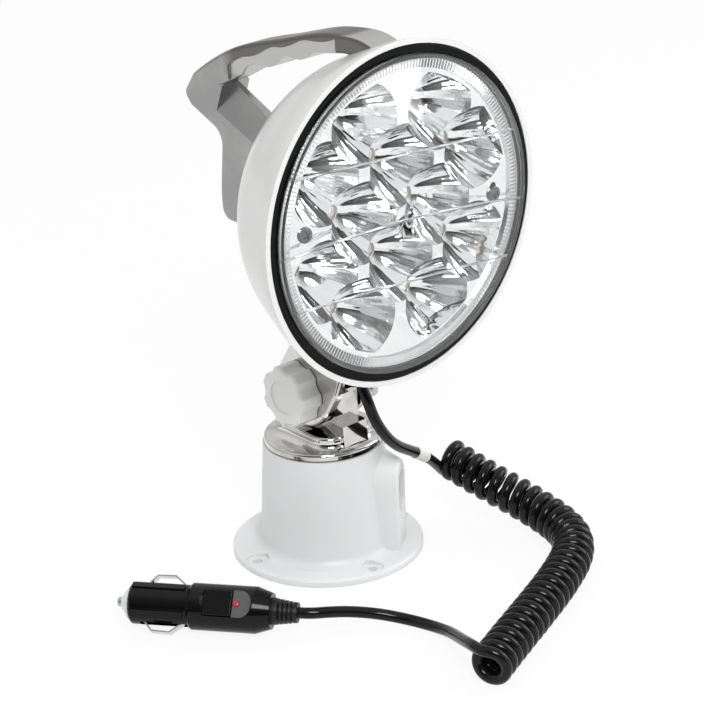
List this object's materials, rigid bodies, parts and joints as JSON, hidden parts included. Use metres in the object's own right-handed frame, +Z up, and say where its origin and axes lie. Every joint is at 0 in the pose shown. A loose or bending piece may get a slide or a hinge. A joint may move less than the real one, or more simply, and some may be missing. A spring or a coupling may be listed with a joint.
{
  "type": "led spotlight",
  "caption": "Deck-mounted LED spotlight on a swivelling pedestal, with a tilting round head, carry handle, clamp knobs and a curly cord ending in a 12 V accessory plug",
  "frame": {"origin": "centre of the base flange's underside, on the deck", "axes": "+Z up the swivel axis, -Y the way the lamp shines at rest, X along the tilt axis"},
  "size_m": [0.2291, 0.2658, 0.2868],
  "materials": {
    "base_plastic": "white moulded plastic, slightly translucent",
    "shell_plastic": "glossy white moulded plastic",
    "knob_plastic": "white moulded plastic",
    "chrome": "polished chrome plate",
    "steel": "plain steel",
    "brass": "machined brass",
    "rubber": "black rubber",
    "rim_plastic": "glossy black plastic",
    "lens_plastic": "clear moulded lens",
    "trim_plastic": "bright ribbed ring",
    "reflector": "vacuum-metallised plastic",
    "dark_steel": "blackened steel",
    "board": "white circuit board",
    "emitter": "yellow phosphor under a clear dome",
    "aluminium": "cast aluminium",
    "driver": "black potted box",
    "handle_metal": "satin metallised casting",
    "cord": "black PVC cord",
    "plug_plastic": "glossy black plastic",
    "nose_plastic": "clear white plastic",
    "panel_plastic": "dark grey plastic",
    "lamp_red": "red indicator"
  },
  "bodies": {
    "base": {"base_pedestal": "base_plastic"},
    "turret": {"turret_stem": "chrome", "swivel_gasket": "rubber", "swivel_washer": "steel", "swivel_bolt": "steel", "cord_lead": "cord", "cord_coil": "cord", "cord_tail": "cord", "plug_body": "plug_plastic", "plug_nose": "nose_plastic", "contact_spring": "steel", "plug_fuse": "nose_plastic", "ground_clips": "chrome", "plug_panel": "panel_plastic", "plug_lamp": "lamp_red", "plug_boot": "rubber"},
    "head": {"neck_yoke": "chrome", "friction_washers": "rubber", "tilt_stud": "steel", "neck_screws": "steel", "cable_gland": "rubber", "rear_shell": "shell_plastic", "lens_rim": "rim_plastic", "lens": "lens_plastic", "lens_seal": "rubber", "trim_ring": "trim_plastic", "reflector_tray": "reflector", "reflector_screws": "dark_steel", "led_board": "board", "led_emitters": "emitter", "heat_sink": "aluminium", "driver_box": "driver", "handle": "handle_metal", "handle_screws": "steel"},
    "knob_left": {"knob_left": "knob_plastic", "knob_nut_left": "brass"},
    "knob_right": {"knob_right": "knob_plastic", "knob_nut_right": "brass"},
    "plug_switch": {"plug_switch": "plug_plastic"},
    "plug_contact": {"plug_contact": "steel"}
  },
  "joints": [
    {"name": "base_swivel", "type": "hinge", "parent": "base", "child": "turret", "pos_m": [0, 0, 0.061], "axis": [0, 0, 1], "continuous": true},
    {"name": "head_tilt", "type": "hinge", "parent": "turret", "child": "head", "pos_m": [0, -0.002, 0.093], "axis": [-1, 0, 0], "range_deg": [-30, 75], "deforming": ["cord_lead"]},
    {"name": "knob_left_turn", "type": "hinge", "parent": "head", "child": "knob_left", "pos_m": [-0.02, -0.002, 0.093], "axis": [-1, 0, 0], "continuous": true},
    {"name": "knob_right_turn", "type": "hinge", "parent": "head", "child": "knob_right", "pos_m": [0.02, -0.002, 0.093], "axis": [1, 0, 0], "continuous": true},
    {"name": "plug_switch_rock", "type": "hinge", "parent": "turret", "child": "plug_switch", "pos_m": [-0.10316, -0.03791, 0.01778], "axis": [-0.5447, -0.4104, -0.7314], "range_deg": [-5, 5]},
    {"name": "plug_contact_press", "type": "slide", "parent": "turret", "child": "plug_contact", "axis": [0.6018, -0.7986, 0], "range_m": [0, 0.0024], "stiffness_N_per_m": 600, "springref_m": -0.002, "deforming": ["contact_spring"]}
  ]
}
